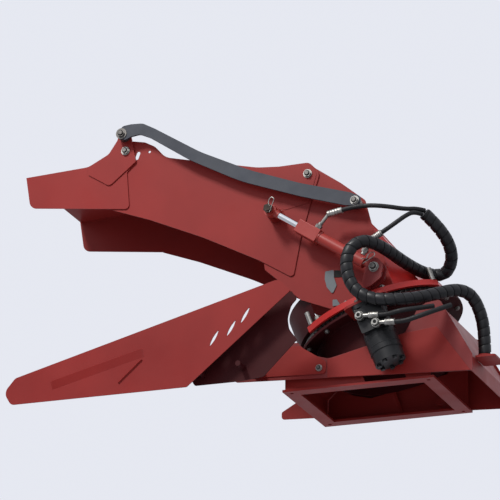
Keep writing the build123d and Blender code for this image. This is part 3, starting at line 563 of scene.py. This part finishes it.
# ---------------------------------------------------------------- bolt ends
def bolt_end(x, z, outer, radius, body, name):
    """The threaded end of a bolt in its nut, on a side plate's outside."""
    place = sideways(x, z, outer)

    def ridge(work):
        shank = radius * 0.92
        turned(work, place, [(shank, -0.001), (shank, 0.0035), (radius * 0.8, 0.0045), (0, 0.0045)])

    # Painted shade: a thin black disc for the shaded hole round the bolt end.
    def recess(work):
        turned(work, place, [(radius * 1.22, -0.0005), (radius * 1.22, 0.0006), (0, 0.0006)])

    mesh_object(name + "_end", ridge, dark_steel, body)
    mesh_object(name + "_ring", recess, hollow, body)


BOLT_HEAD = 0.0095  # washer and head
LINK_FACE = 0.2855
BOLT_ENDS = [
    ("boom_bolt", -0.160, 0.742, 0.244 + BOLT_HEAD, 0.008, "swivel"),
    ("flap_bolt", -0.810, 0.899, 0.251 + BOLT_HEAD, 0.008, "boom"),
    ("link_front", -0.812, 0.950, LINK_FACE + BOLT_HEAD, 0.008, "flap"),
    ("link_rear", 0.017, 0.614, LINK_FACE + BOLT_HEAD, 0.008, "swivel"),
    ("foot_bolt", -0.126, 0.065, 0.238 + BOLT_HEAD, 0.006, "root"),
    ("base_pin", CYLINDER_BASE.x, CYLINDER_BASE.z, 0.3358, 0.009, "swivel"),
]
for name, x, z, outer, radius, body in BOLT_ENDS:
    bolt_end(x, z, outer, radius, body, name)


# ---------------------------------------------------------------- pins and clips of the cylinder
def rod_pin_head(work):
    """A flat hexagon head on the rod pin."""
    place = sideways(ROD_END.x, ROD_END.z, 0.327)
    prism(work, place, regular(6, 0.0165, 0.3), 0.0, 0.008)
    turned(work, place, [(0.010, 0.008), (0.010, 0.011), (0, 0.011)], 24)


mesh_object("rod_pin_head", rod_pin_head, oiled_steel, "rod")


def wire(name, points, radius, finish, body):
    """A bent round wire through the points."""

    def build(work):
        bead(work, points, radius)

    mesh_object(name, build, finish, body)


def hairpin(centre, direction, body, name):
    """A spring clip: one straight leg through the pin and one leg that waves over it."""
    run = Vector(direction).normalized()
    across = run.cross(Vector((0, 1, 0))).normalized()
    start = Vector(centre)
    straight = [start + run * (0.002 * k) for k in range(-12, 11)]
    loop = []
    for k in range(13):
        turn = math.pi * k / 12
        loop.append(straight[-1] + run * (0.008 * math.sin(turn)) + across * (0.008 * (1 - math.cos(turn))))
    wave = []
    for k in range(1, 20):
        dip = 0.009 * math.exp(-((k - 11) / 3.5) ** 2)
        wave.append(loop[-1] - run * (0.0022 * k) - across * dip)
    wire(name, straight + loop + wave, 0.0016, zinc, body)


hairpin((CYLINDER_BASE.x - 0.012, -0.342, CYLINDER_BASE.z + 0.020), (0.8, 0, 0.45), "swivel", "base_clip")
hairpin((ROD_END.x + 0.014, -0.334, ROD_END.z + 0.006), (0.35, 0, 0.9), "rod", "rod_clip")


def wiper(work):
    """The dust wiper round the rod where it enters the gland."""
    place = towards(on_cylinder(0.118), -CYLINDER_RUN)
    turned(work, place, [(0.0145, 0.0), (0.0145, 0.003), (0.0112, 0.0045), (0.0108, 0.0)], 32)


mesh_object("rod_wiper", wiper, black_paint, "barrel")


def barrel_collar(work):
    """The nut ring between the gland block and the barrel."""
    place = towards(on_cylinder(0.202), CYLINDER_RUN)
    turned(work, place, [(0.0222, 0.0), (0.0222, 0.005), (0.0203, 0.007), (0.0203, 0.0)], 40)


mesh_object("barrel_collar", barrel_collar, paint_cylinder, "barrel")


# ---------------------------------------------------------------- hose fittings
def crimps(name, ferrule, body):
    """Crimp ridges on a ferrule and the swage lip at its open end."""
    low, high = ferrule
    place = towards(low, high - low)
    length = (high - low).length
    profile = [(0.0070, -0.004), (0.0112, -0.002), (0.0112, 0.003), (0.0106, 0.004)]
    count = 4
    for k in range(count):
        base = 0.006 + (length - 0.012) * k / count
        step = (length - 0.012) / count
        ridge = [(0.0106, 0), (0.0113, 0.2), (0.0113, 0.65), (0.0106, 0.85)]
        profile += [(radius, base + step * share) for radius, share in ridge]
    lip = [(0.0106, -0.004), (0.0112, -0.002), (0.0098, 0.001), (0.0076, 0.001)]
    profile += [(radius, length + ahead) for radius, ahead in lip]

    def build(work):
        turned(work, place, profile, 28)

    mesh_object(name, build, zinc, body)


def union_nut(name, start, end):
    """A hexagon union nut on a tail pipe."""
    place = towards(start.lerp(end, 0.35), end - start)

    def build(work):
        prism(work, place, regular(6, 0.0118), -0.006, 0.006)

    mesh_object(name, build, zinc, "barrel", smooth=False)


crimps("rod_ferrule", rod_ferrule, "barrel")
crimps("base_ferrule", base_ferrule, "barrel")
union_nut("rod_union", on_cylinder(ROD_PORT_REACH, 0.023), rod_port)
union_nut("base_union", on_cylinder(CYLINDER_REACH - BASE_PORT_BACK, 0.020), base_port)
for k, ferrule in enumerate(motor_ferrules):
    crimps(f"motor_ferrule_{k + 1}", ferrule, "root")


def banjo(name, a, h):
    """A banjo bolt's head with its socket, and the eye round it."""
    place = at_motor(h, a, PORT_FACE - 0.018) @ Matrix.Rotation(math.pi / 2, 4, "X")

    def eye(work):
        profile = [(0.0152, -0.014), (0.0156, -0.012), (0.0156, -0.002), (0.0145, 0.0), (0.0110, 0.0)]
        turned(work, place, profile, 36)

    def head(work):
        prism(work, place, regular(6, 0.0122), -0.001, 0.0075)
        turned(work, place, [(0.0100, 0.0072), (0.0100, 0.0090), (0.0062, 0.0090), (0.0062, 0.0060)], 28)

    # Painted shade: a flat black disc for the shaded hex socket.
    def socket(work):
        turned(work, place, [(0.0063, 0.0080), (0, 0.0080)], 28)

    mesh_object(name + "_eye", eye, zinc, "root")
    mesh_object(name + "_head", head, zinc, "root")
    mesh_object(name + "_socket", socket, hollow, "root")


for k, (a, h) in enumerate(PORTS):
    banjo(f"banjo_{k + 1}", a, h)


# ---------------------------------------------------------------- motor details
def motor_rings(work):
    """Thin joints between the motor's housing, gear set and end cover."""
    for h in (MOTOR_TOP - 0.106, MOTOR_TOP - 0.176):
        place = at_motor(h)
        turned(work, place, [(0.0535, -0.0015), (0.0546, -0.0008), (0.0546, 0.0008), (0.0535, 0.0015)], 48)
    for h in (MOTOR_TOP - 0.125, MOTOR_TOP - 0.157):
        place = at_motor(h)
        turned(work, place, [(0.0538, -0.0022), (0.0549, -0.0012), (0.0549, 0.0012), (0.0538, 0.0022)], 48)


mesh_object("motor_rings", motor_rings, black_paint, "root")


def motor_flange_bolts(work):
    """Hexagon heads under the motor's mounting flange."""
    for a in (-0.038, 0.038):
        for b in (-0.038, 0.038):
            place = at_motor(MOTOR_TOP - 0.0138, a, b) @ Matrix.Rotation(math.pi, 4, "X")
            nut(work, place, 0.0095, 0.008)


mesh_object("motor_flange_bolts", motor_flange_bolts, dark_steel, "root")


def bearing_nuts(work):
    """Nuts under the fixed bearing plate."""
    for k in range(14):
        turn = math.radians(12 + 360 * k / 14)
        if abs(math.degrees(turn) - 280) < 24:
            continue  # the motor stands here
        place = SLEW @ Matrix.Translation((0.268 * math.cos(turn), 0.268 * math.sin(turn), -0.0418))
        nut(work, place @ Matrix.Rotation(math.pi, 4, "X"), 0.0088, 0.008)


mesh_object("bearing_nuts", bearing_nuts, zinc, "root")


# ---------------------------------------------------------------- sheet metal details
def side_panel(name, corners, outer, thickness, finish, body):
    """A flat overlay on the near side: corners are (x, z)."""

    def build(work):
        low = [work.verts.new((x, -outer + 0.0002, z)) for x, z in corners]
        high = [work.verts.new((x, -(outer + thickness), z)) for x, z in corners]
        work.faces.new(low)
        work.faces.new(high)
        for k in range(len(corners)):
            after = (k + 1) % len(corners)
            work.faces.new((low[k], low[after], high[after], high[k]))

    bevelled(mesh_object(name, build, finish, body, smooth=False), 0.0006)


# Painted light: an overlay in the plain red on the near cheek's lower part, below its fold line, lit against the
# cheek's deeper shade red.
BASE_FOLD_LIT = [
    (-0.098, 0.0925), (-0.080, 0.0955), (-0.029, 0.1085), (0.182, 0.1560), (0.277, 0.1660), (0.389, 0.0070),
    (-0.098, 0.0300),
]
side_panel("base_fold_lit_part", BASE_FOLD_LIT, BASE_OUTER, 0.0018, paint, "root")
# Painted shade: a black plate beside the upper inspection cover stands in for the shaded gap there
GAP_SHADE_CORNERS = [(-0.071, 0.3955), (-0.034, 0.3900), (-0.036, 0.3680), (-0.071, 0.3705)]
side_panel("cover_gap", GAP_SHADE_CORNERS, ELBOW_OUTER, 0.0016, hollow, "swivel")


def pressed_rib(name, start, end, width, depth, body, facing=1):
    """A thin raised wedge on the guard, for a pressed line: it faces down, or up with facing -1."""
    start, end = Vector(start), Vector(end)
    run = (end - start).normalized()
    down = Vector((run.z, 0, -run.x))
    if down.z > 0:
        down = -down
    down *= facing
    out = Vector((0, -depth, 0))

    def build(work):
        rows = []
        for k, share in enumerate((0.0, 0.02, 0.98, 1.0)):
            place = start.lerp(end, share)
            rise = 0.02 if k in (0, 3) else 1.0
            top, crest, foot = place, place + down * 0.003 + out * rise, place + down * width
            rows.append([work.verts.new(v) for v in (top, crest, foot)])
        for low, high in zip(rows, rows[1:]):
            for j in range(2):
                work.faces.new((low[j], low[j + 1], high[j + 1], high[j]))

    mesh_object(name, build, paint, body)


GUARD_FACE = -(GUARD_OUTER + 0.0002)
pressed_rib("guard_rib_top", (-0.661, GUARD_FACE, 0.124), (-0.984, GUARD_FACE, 0.043), 0.030, 0.006, "root")
pressed_rib("guard_rib_side", (-0.659, GUARD_FACE, 0.083), (-0.742, GUARD_FACE, 0.010), 0.007, 0.005, "root", -1)


# ---------------------------------------------------------------- rubber flaps over the roof's two joints
def roof_flap(name, profile, half_width, bodies):
    """A rubber sheet clamped to two roofs, bent along the profile and put on no body. The profile holds (x, z)
    points.
    """
    fine = []
    for (x0, z0), (x1, z1) in zip(profile, profile[1:]):
        fine += [(x0 + (x1 - x0) * k / 6, z0 + (z1 - z0) * k / 6) for k in range(6)]
    fine.append(profile[-1])

    def build(work):
        rows = []
        for x, z in fine:
            ring = [(half_width, 0), (-half_width, 0), (-half_width, 0.004), (half_width, 0.004)]
            rows.append([work.verts.new((x, y, z + lift)) for y, lift in ring])
        for low, high in zip(rows, rows[1:]):
            for j in range(4):
                after = (j + 1) % 4
                work.faces.new((low[j], low[after], high[after], high[j]))
        work.faces.new(rows[0])
        work.faces.new(rows[-1])

    flap_sheet = mesh_object(name, build, rubber, None, smooth=False)
    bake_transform(flap_sheet)
    for body, (x0, z0), (x1, z1) in ((bodies[0], *profile[:2]), (bodies[1], *profile[:-3:-1])):
        outside, inside = Vector((x0, 0, z0 + 0.0042)), Vector((x1, 0, z1 + 0.0042))
        clamp_bar(f"{name}_clamp_{body}", outside, inside, half_width, body)


def clamp_bar(name, outside, inside, half_width, body):
    """A flat bar with five bolt heads that clamps a rubber sheet to a roof."""
    run = (inside - outside).normalized()
    up = Vector((0, 1, 0)).cross(run)
    if up.z < 0:
        up = -up
    middle = outside.lerp(inside, 0.5)

    def bar(work):
        section = ((-0.011, 0), (0.011, 0), (0.011, 0.003), (-0.011, 0.003))
        corners = [middle + run * r + up * u for r, u in section]
        ends = [[work.verts.new(v + Vector((0, y, 0))) for v in corners] for y in (-half_width, half_width)]
        for j in range(4):
            after = (j + 1) % 4
            work.faces.new((ends[0][j], ends[0][after], ends[1][after], ends[1][j]))
        work.faces.new(ends[0])
        work.faces.new(ends[1])

    def heads(work):
        for k in range(5):
            seat = middle + up * 0.003 + Vector((0, half_width * (k - 2) * 0.44, 0))
            nut(work, towards(seat, up), 0.0075, 0.0055)

    mesh_object(name, bar, paint, body, smooth=False)
    mesh_object(name + "_bolts", heads, zinc, body)


ELBOW_FLAP = [(-0.0945, 0.7110), (-0.1245, 0.7406), (-0.2620, 0.7625), (-0.3000, 0.7650)]
MOUTH_FLAP = [(-0.7340, 0.8520), (-0.7720, 0.8530), (-0.8660, 0.8770), (-0.9020, 0.8700)]
roof_flap("elbow_flap", ELBOW_FLAP, 0.230, ("swivel", "boom"))
roof_flap("mouth_flap", MOUTH_FLAP, 0.236, ("boom", "flap"))


# ---------------------------------------------------------------- weld beads
def weld(name, points, radius, finish, body):
    """A weld bead along a polyline, closely stepped."""
    fine = []
    for start, end in zip(points, points[1:]):
        fine += between(start, end)[: None if end == points[-1] else -1]
    mesh_object(name, lambda work: bead(work, fine, radius), finish, body)


def circle_points(matrix, radius, steps=72):
    """Points on a circle in a matrix's XY plane."""
    turns = [math.radians(360.0 * k / steps) for k in range(steps + 1)]
    return [matrix @ Vector((radius * math.cos(t), radius * math.sin(t), 0)) for t in turns]


def disc_point(a, b, h=0.0):
    """A point on the turntable."""
    return SLEW @ Vector((a, b, h))


weld("boss_weld", circle_points(sideways(ROD_END.x, ROD_END.z, 0.2425), 0.025), 0.0022, paint, "boom")
for side, body_name in ((-1, "near"), (1, "far")):
    foot = [disc_point(-0.035, side * 0.2395, 0.001), disc_point(0.138, side * 0.2395, 0.001)]
    weld(f"foot_weld_{body_name}", foot, 0.0024, paint, "swivel")
    fold = [Vector((0.058, side * 0.2345, 0.546)), disc_point(0.141, side * 0.2345, 0.003)]
    # Painted light: the welds on the lit elbow surfaces take the same brighter red.
    weld(f"fold_weld_{body_name}", fold, 0.0020, painted_light_red, "swivel")
    corner = [Vector((0.058, side * 0.2300, 0.544)), disc_point(0.2125, side * 0.106, 0.003)]
    weld(f"wall_weld_{body_name}", corner, 0.0016, painted_light_red, "swivel")
neck_seam = circle_points(SLEW @ Matrix.Translation((0, 0, -0.0425)), 0.2262, steps=180)
weld("neck_weld", neck_seam, 0.0024, paint_dark, "root")
LUG_EDGE = [(-0.945, 0.829), (-0.908, 0.806), (-0.868, 0.780)]
weld("lug_weld", [Vector((x, -0.2468, z)) for x, z in LUG_EDGE], 0.0016, paint, "flap")

# ---------------------------------------------------------------- stage, light and camera
VIEW_DIRECTION = Vector((-0.3197, 0.8928, 0.3173))
CAMERA_PLACE = Vector((3.889, -12.121, -3.724))
FLOOR_LEVEL = -4.6


def floor_sheet(work):
    """A wide flat floor."""
    corners = [(-40, -40), (40, -40), (40, 40), (-40, 40)]
    work.faces.new([work.verts.new((x, y, FLOOR_LEVEL)) for x, y in corners])


pale = material("pale_stage", (0.50, 0.50, 0.51), 0.9)
floor_data = bpy.data.meshes.new("floor")
floor_work = bmesh.new()
floor_sheet(floor_work)
floor_work.to_mesh(floor_data)
floor_work.free()
floor = bpy.data.objects.new("floor", floor_data)
bpy.context.scene.collection.objects.link(floor)
floor_data.materials.append(pale)

world = bpy.data.worlds.new("studio")
bpy.context.scene.world = world
world.use_nodes = True
sky_tree = world.node_tree
sky_place = sky_tree.nodes.new("ShaderNodeTexCoord")
sky_parts = sky_tree.nodes.new("ShaderNodeSeparateXYZ")
sky_ramp = sky_tree.nodes.new("ShaderNodeValToRGB")
sky_ramp.color_ramp.elements[0].position, sky_ramp.color_ramp.elements[0].color = 0.40, (0.10, 0.10, 0.11, 1)
sky_ramp.color_ramp.elements[1].position, sky_ramp.color_ramp.elements[1].color = 0.60, (0.79, 0.81, 0.88, 1)
sky_shift = sky_tree.nodes.new("ShaderNodeMath")
sky_shift.operation = "MULTIPLY_ADD"
sky_shift.inputs[1].default_value = 0.5
sky_shift.inputs[2].default_value = 0.5
sky_tree.links.new(sky_place.outputs["Generated"], sky_parts.inputs["Vector"])
sky_tree.links.new(sky_parts.outputs["Z"], sky_shift.inputs[0])
sky_tree.links.new(sky_shift.outputs["Value"], sky_ramp.inputs["Fac"])
sky_tree.links.new(sky_ramp.outputs["Color"], sky_tree.nodes["Background"].inputs["Color"])


def area_light(name, place, target, size, power, colour=(1, 1, 1)):
    """A soft square light at a place, aimed at a target."""
    data = bpy.data.lights.new(name, "AREA")
    data.size = size
    data.energy = power
    data.color = colour
    obj = bpy.data.objects.new(name, data)
    bpy.context.scene.collection.objects.link(obj)
    obj.matrix_world = towards(place, Vector(place) - Vector(target))
    return obj


area_light("key", (-2.0, -4.5, 5.0), (-0.3, 0, 0.5), 1.3, 400, (1.0, 0.98, 0.95))
area_light("front", (1.5, -5.5, 0.6), (-0.3, 0, 0.4), 3.0, 22, (0.95, 0.97, 1.0))

camera_data = bpy.data.cameras.new("camera")
camera_data.lens = 288.0
camera_data.sensor_width = 36.0
camera_data.clip_end = 200.0
camera = bpy.data.objects.new("camera", camera_data)
bpy.context.scene.collection.objects.link(camera)
camera.matrix_world = towards(CAMERA_PLACE, -VIEW_DIRECTION)
bpy.context.scene.camera = camera
bpy.context.scene.view_settings.view_transform = "Standard"
